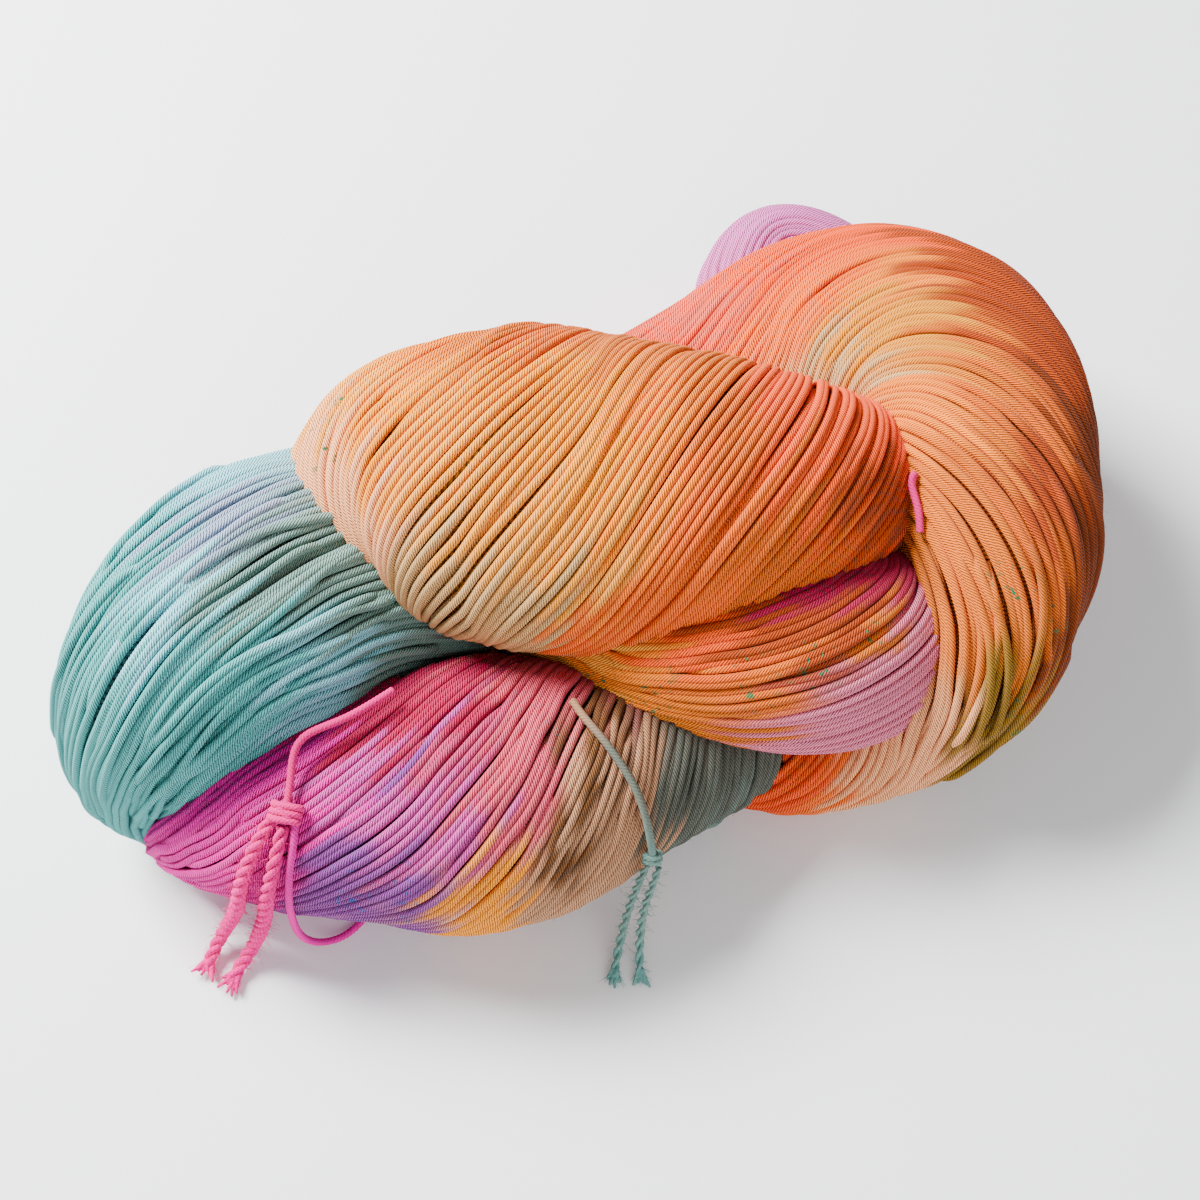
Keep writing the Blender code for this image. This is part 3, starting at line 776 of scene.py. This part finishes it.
def depthInside(points, shape, avoid=None):
    # how deep each point lies inside a pass, in mm, or less than 0 outside it
    step = 4
    pick = np.arange(0, len(shape["along"]), step)
    gap = float(np.diff(shape["along"]).mean()) * step
    best = np.full(len(points), -9.0)
    for i in pick:
        offset = points - shape["centre"][i]
        ahead = np.abs(offset @ shape["travel"][i])
        near = ahead < gap
        if avoid is not None:
            near &= np.abs(avoid - shape["along"][i]) > 45
        if not near.any():
            continue
        across = offset[near] @ shape["level"][i] / shape["a"][i]
        height = offset[near] @ shape["up"][i] / shape["b"][i]
        deep = (1 - np.sqrt(across**2 + height**2)) * min(shape["a"][i], shape["b"][i])
        best[near] = np.maximum(best[near], deep)
    return best


poursOf = {
    name: (
        np.array([p[1:3] for p in pours if p[0] == name], float),
        np.array([p[3] for p in pours if p[0] == name], float),
        np.array([wool(p[4]) for p in pours if p[0] == name]),
    )
    for name in passes
}


def dyeAt(name, points, travel, shift):
    # the colour that the poured dyes give at each point, drawn out along its strand by shift
    where, reach, colour = poursOf[name]
    spots = points[:, :2] + travel[:, :2] * shift[:, None]
    distance = np.linalg.norm(spots[:, None] - where[None], axis=2) / reach
    weight = 1.0 / (distance**2 + 0.06) ** 3
    return (weight @ colour) / weight.sum(1, keepdims=True)


def dropsAt(name, points):
    fleck = np.zeros((len(points), 4))
    for passName, x, y, reach, dye in drops:
        if passName != name:
            continue
        far = np.hypot(points[:, 0] - x, points[:, 1] - y)
        strength = ease(1.3 - far / reach)
        top = (strength > fleck[:, 3]) & (points[:, 2] > 12)
        fleck[top, :3] = wool(dye)
        fleck[top, 3] = strength[top]
    return fleck


hairRoots = []  # place, outward direction, travel and colour along every shown strand


def layWanderers(settings, shape, rng):
    # single strands that cross over the others for a short way and dive in again
    rows = len(shape["along"])
    columns = []
    for count, first, last, low, high in settings["wanderers"]:
        for _ in range(count):
            length = rng.uniform(0.35, 0.65) * (last - first)
            start = rng.uniform(first, last - length)
            q = (shape["along"] - start) / length
            follow = shape["turn"] - np.interp(start, shape["along"], shape["turn"])
            drift = rng.uniform(low, high), rng.choice((-1, 1)), rng.uniform(0.01, 0.05)
            share = drift[0] + follow + drift[1] * drift[2] * ease(q)
            arch = np.sin(math.pi * np.clip(q, 0, 1))
            dive = 3.2 - 3.4 * np.minimum(1, 2.6 * arch) ** 0.8
            depth = yarn["radius"] * dive + 0.25 * rng.uniform(-1, 1)
            columns.append((share, depth, ((q > 0) & (q < 1)).astype(float)))
    if not columns:
        return None
    return [np.stack(part, 1) for part in zip(*columns)]


def buildLayer(name, shapes, share, depth, upWeight, sides, ringStep, rng):
    shape = shapes[name]
    places, outward = onPass(shape, share, depth)
    tubes = []
    turn = (np.arange(sides) / sides + 0.5) * 2 * math.pi
    for strand in range(share.shape[1]):
        path = places[:, strand]
        gone = np.concatenate([[0.0], np.cumsum(np.linalg.norm(np.diff(path, axis=0), axis=1))])
        where = np.arange(0, gone[-1], ringStep)
        row = np.interp(where, gone, np.arange(len(gone)))

        def at(values):
            low = np.minimum(row.astype(int), len(values) - 2)
            f = row - low
            return values[low] * (1 - f)[:, None] + values[low + 1] * f[:, None]

        points, out = at(path), at(outward[:, strand])
        up = at(upWeight[:, strand : strand + 1])[:, 0]
        distance = at(shape["along"][:, None])[:, 0]
        points[:, 2] = np.maximum(points[:, 2], yarn["radius"])
        hidden = up < 0.05
        for other, otherShape in shapes.items():
            deep = depthInside(points, otherShape, distance if other == name else None)
            hidden |= deep > yarn["keepUnder"]
        shown = ~hidden
        shown = shown | np.roll(shown, 1) | np.roll(shown, -1)
        shown[[0, -1]] &= ~hidden[[0, -1]]
        edges = np.flatnonzero(np.diff(np.concatenate([[0], shown.astype(int), [0]])))
        travel = unit(np.gradient(points, axis=0))
        normal = unit(out - travel * (out * travel).sum(1, keepdims=True))
        side = np.cross(travel, normal)
        run = yarn["dyeRun"] if rng.uniform() < 0.92 else yarn["farDyeRun"]
        shift = rng.uniform(-run, run) + 3.0 * np.sin(where / 17.0 + rng.uniform(0, 6.3))
        tone = rng.uniform(*yarn["tones"])
        tone = tone * (1 + 0.05 * np.sin(where / rng.uniform(5, 12) + rng.uniform(0, 6.3)))
        colour = dyeAt(name, points, travel, shift) * tone[:, None]
        fleck = dropsAt(name, points)
        radius = yarn["radius"] * rng.uniform(0.95, 1.05)
        start = rng.uniform(0, 50)
        for first, last in zip(edges[::2], edges[1::2]):
            if last - first < 3:
                continue
            part = slice(first, last)
            ring = (
                np.cos(turn)[None, :, None] * normal[part, None]
                + np.sin(turn)[None, :, None] * side[part, None]
            )
            rings = points[part, None] + radius * ring
            tubes.append((rings * mm, where[part] + start, colour[part], fleck[part]))
            hairRoots.append(np.c_[points[part], normal[part], travel[part], colour[part]])
    return tubes


def buildPass(name, settings, shapes, rng):
    count, under = settings["strands"], yarn["under"]
    layers = [
        ("yarn", count, 0.0, yarn["sides"], yarn["ringStep"]),
        ("under_yarn", int(count * under["strands"]), under["depth"], under["sides"], under["ringStep"]),
    ]
    wanderers = layWanderers(settings, shapes[name], rng)
    if wanderers:
        layers.append(("wandering_yarn", 0, 0.0, yarn["sides"], yarn["ringStep"]))
    for layer, strands, below, sides, ringStep in layers:
        laid = layStrands(settings, shapes[name], strands, below, rng) if strands else wanderers
        tubes = buildLayer(name, shapes, *laid, sides, ringStep, rng)
        total = sum(len(t[0]) for t in tubes) * sides * 2
        parts = max(1, math.ceil(total / 170000))
        size = math.ceil(len(tubes) / parts)
        for k in range(parts):
            part = tubes[k * size : (k + 1) * size]
            piece = makePiece(f"{name}_{layer}_{k + 1}", part, dyedWool)
            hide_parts("skein")


inside = {"sides": 40, "step": 3, "depth": 3.1, "shade": 0.45}  # mm, and the painted shade between the strands


def buildInside(shapes):
    # the wool under the outer strands, darkened as painted shade in the gaps between them
    tubes = []
    sides = inside["sides"]
    for name, shape in shapes.items():
        count = int(shape["along"][-1] / inside["step"])
        pick = np.unique(np.linspace(0, len(shape["along"]) - 1, count).astype(int))
        small = {key: (value[pick] if key != "angle" else value) for key, value in shape.items()}
        share = np.repeat((np.arange(sides) / sides)[None], len(pick), axis=0)
        places, _ = onPass(small, share, np.full(share.shape, inside["depth"]))
        places[..., 2] = np.maximum(places[..., 2], 0.5)
        # painted shade: the inner wool takes the dye at less than half its brightness
        colour = dyeAt(name, small["centre"], small["travel"], np.zeros(len(pick))) * inside["shade"]
        tubes.append((places * mm, small["along"], colour, np.zeros((len(pick), 4))))
    piece = makePiece("skein_inside", tubes, dyedWool)
    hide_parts("skein")


fuzz = {"hairs": 6000, "length": (1.2, 4.0), "radius": 0.022, "lift": 0.75}  # mm


def buildFuzz(rng):
    # fine loose fibres that stand off the strands
    roots = np.concatenate(hairRoots)
    roots = roots[rng.choice(len(roots), fuzz["hairs"])]
    tubes = []
    turn = np.arange(3) / 3 * 2 * math.pi
    s = np.linspace(0, 1, 4)[:, None]
    for root in roots:
        place, normal, travel, colour = root[:3], root[3:6], root[6:9], root[9:12]
        side = np.cross(travel, normal)
        lean = rng.uniform(-1, 1)
        base = place + yarn["radius"] * unit((normal + side * lean)[None])[0] * 0.95
        length = rng.uniform(*fuzz["length"])
        away = normal * fuzz["lift"] * rng.uniform(0.3, 1.0) + side * rng.uniform(-0.8, 0.8)
        bend = travel * rng.uniform(-1, 1) + side * rng.uniform(-0.5, 0.5) - normal * 0.3
        line = base + length * (away * s + bend * s**2 * 0.6)
        line[:, 2] = np.maximum(line[:, 2], 0.1)
        thick = fuzz["radius"] * np.array([1.0, 0.9, 0.7, 0.4])[:, None, None]
        other = np.cross(side, unit(away[None])[0])
        ring = np.cos(turn)[None, :, None] * side + np.sin(turn)[None, :, None] * other
        colours = np.repeat((colour * 1.05)[None], 4, axis=0)
        tubes.append(((line[:, None] + thick * ring) * mm, s[:, 0], colours, np.zeros((4, 4))))
    makePiece("loose_fibres", tubes, dyedWool)


def buildSkein():
    rng = np.random.default_rng(yarn["seed"])
    shapes = {name: measurePass(settings["sections"]) for name, settings in passes.items()}
    buildInside(shapes)
    for name, settings in passes.items():
        buildPass(name, settings, shapes, rng)
        print(f"{name}: wound")
    buildFuzz(rng)


buildSkein()


studio = {
    "floorColour": (0.88, 0.89, 0.90),
    "floorSize": 3.0,
    "skyColour": (0.93, 0.96, 1.0),
    "skyStrength": 0.47,
    "key": {"place": (-0.50, 0.32, 0.66), "size": 0.40, "power": 36.0},
    "fill": {"place": (0.25, -0.75, 0.45), "size": 0.9, "power": 6.5},
}


def makeStudio(setup):
    half = setup["floorSize"] / 2
    mesh = bpy.data.meshes.new("floor")
    corners = [(-half, -half, 0), (half, -half, 0), (half, half, 0), (-half, half, 0)]
    mesh.from_pydata(corners, [], [(0, 1, 2, 3)])
    floor = bpy.data.objects.new("floor", mesh)
    floor.location.z = -0.0001
    bpy.context.collection.objects.link(floor)
    material = bpy.data.materials.new("pale floor")
    material.use_nodes = True
    shader = material.node_tree.nodes["Principled BSDF"]
    shader.inputs["Base Color"].default_value = (*setup["floorColour"], 1)
    shader.inputs["Roughness"].default_value = 0.7
    mesh.materials.append(material)
    world = bpy.data.worlds.new("studio")
    bpy.context.scene.world = world
    world.use_nodes = True
    background = world.node_tree.nodes["Background"]
    background.inputs["Color"].default_value = (*setup["skyColour"], 1)
    background.inputs["Strength"].default_value = setup["skyStrength"]
    for name in ("key", "fill"):
        lamp = setup[name]
        data = bpy.data.lights.new(name, "AREA")
        data.size = lamp["size"]
        data.energy = lamp["power"]
        light = bpy.data.objects.new(name, data)
        light.location = lamp["place"]
        aim = Vector((0, 0, 0.03)) - light.location
        light.rotation_euler = aim.to_track_quat("-Z", "Y").to_euler()
        bpy.context.collection.objects.link(light)


makeStudio(studio)
print("floor and light ready")
